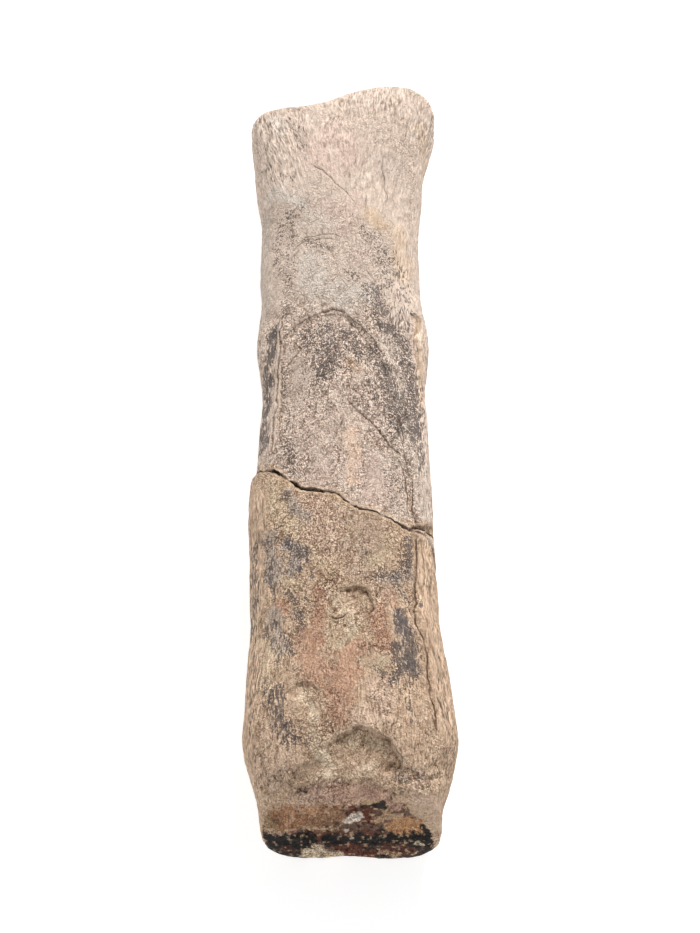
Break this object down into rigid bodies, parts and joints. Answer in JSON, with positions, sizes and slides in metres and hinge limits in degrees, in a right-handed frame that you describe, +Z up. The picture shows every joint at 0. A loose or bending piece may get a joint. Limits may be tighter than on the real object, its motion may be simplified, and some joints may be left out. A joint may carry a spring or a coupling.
{
  "type": "fossil horse leg bone",
  "caption": "Fossil horse cannon bone lying on its back face, snapped across the shaft into pieces that fit together, with a worn far end and a half-round joint face.",
  "frame": {"origin": "on the surface that the bone lies on, under the middle of its bounding box", "axes": "+Y along the bone from the joint end to the worn far end, +Z up out of the rounded front face, +X across the bone"},
  "size_m": [0.0508, 0.2062, 0.0343],
  "materials": {
    "far_bone": "matt weathered fossil bone, pale beige with dark grey mineral speckle",
    "joint_bone": "matt weathered fossil bone, tan to reddish brown with dark mineral speckle and pale sediment"
  },
  "bodies": {
    "root": {"far_end_piece": "far_bone", "joint_end_piece": "joint_bone"}
  },
  "joints": []
}
